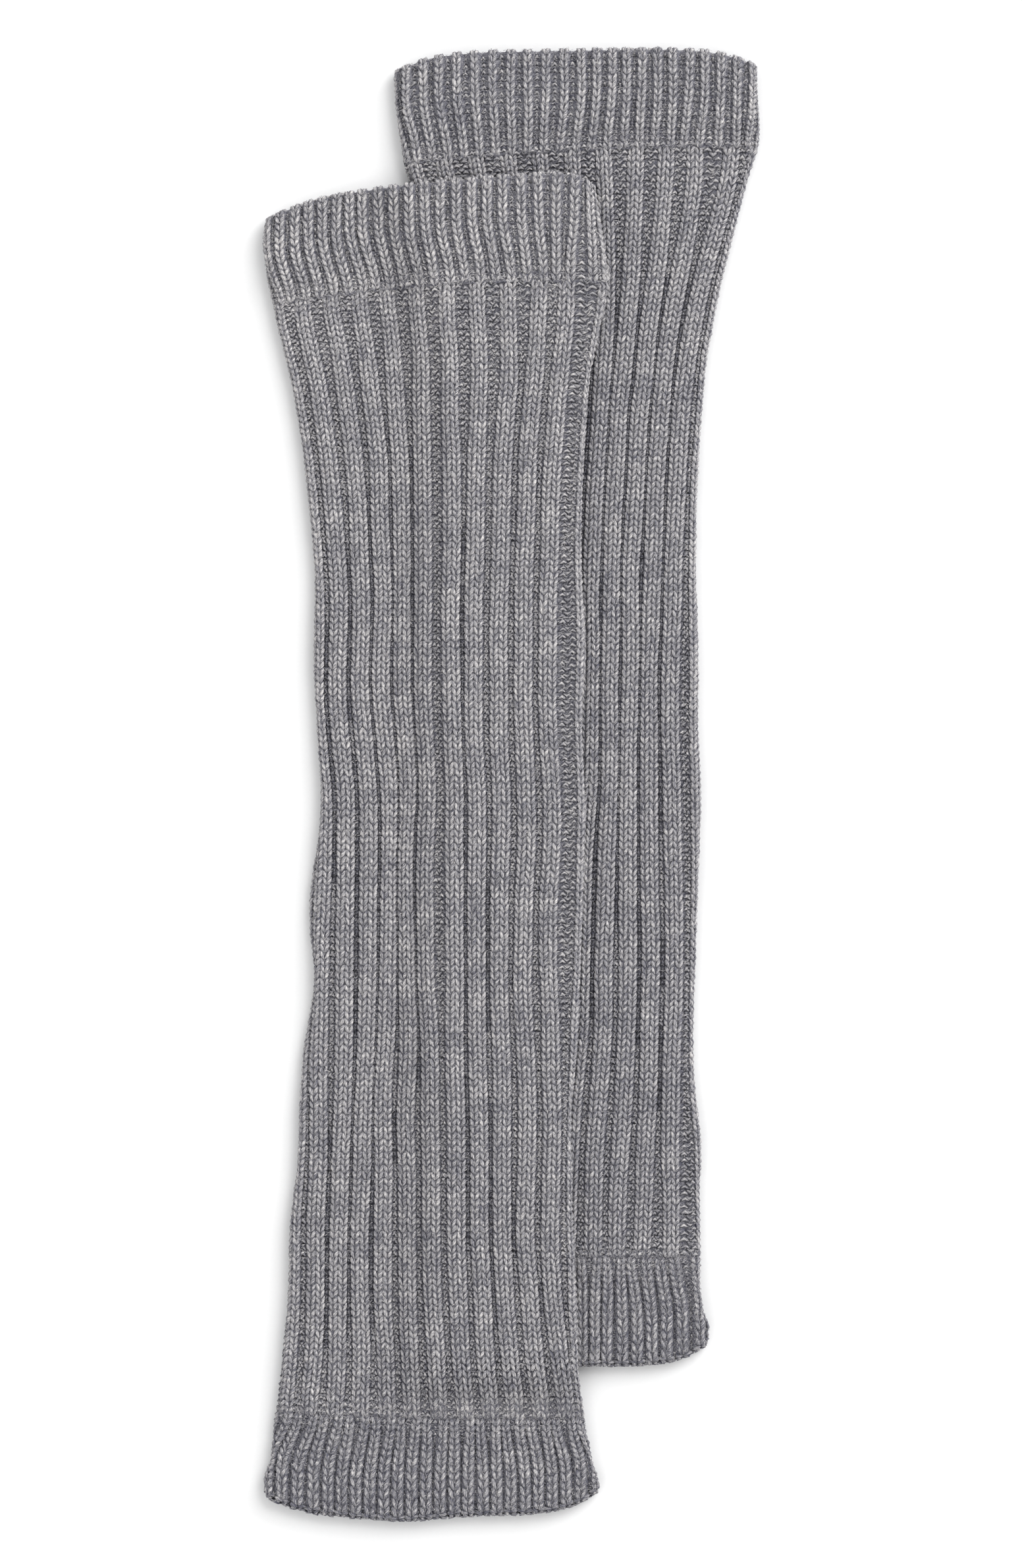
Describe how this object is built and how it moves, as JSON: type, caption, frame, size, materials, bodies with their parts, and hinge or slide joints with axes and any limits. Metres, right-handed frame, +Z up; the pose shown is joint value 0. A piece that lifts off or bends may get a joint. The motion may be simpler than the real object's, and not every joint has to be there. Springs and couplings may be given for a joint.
{
  "type": "pair of leg warmers",
  "caption": "Pair of ribbed wool leg warmers laid flat, one partly over the other, each a knitted tube with a doubled top cuff and a fine-ribbed ankle cuff.",
  "frame": {"origin": "middle of the pair's outline, on the surface it lies on", "axes": "+Y runs along the legs towards the top cuffs, +X to the right across them, +Z up from the surface"},
  "size_m": [0.1688, 0.5012, 0.0145],
  "materials": {
    "heather_wool": "soft heather wool yarn, rib knit, matt with a light nap"
  },
  "bodies": {
    "root": {"front_top_cuff": "heather_wool", "front_leg": "heather_wool", "front_bottom_cuff": "heather_wool", "back_top_cuff": "heather_wool", "back_leg": "heather_wool", "back_bottom_cuff": "heather_wool"}
  },
  "joints": []
}
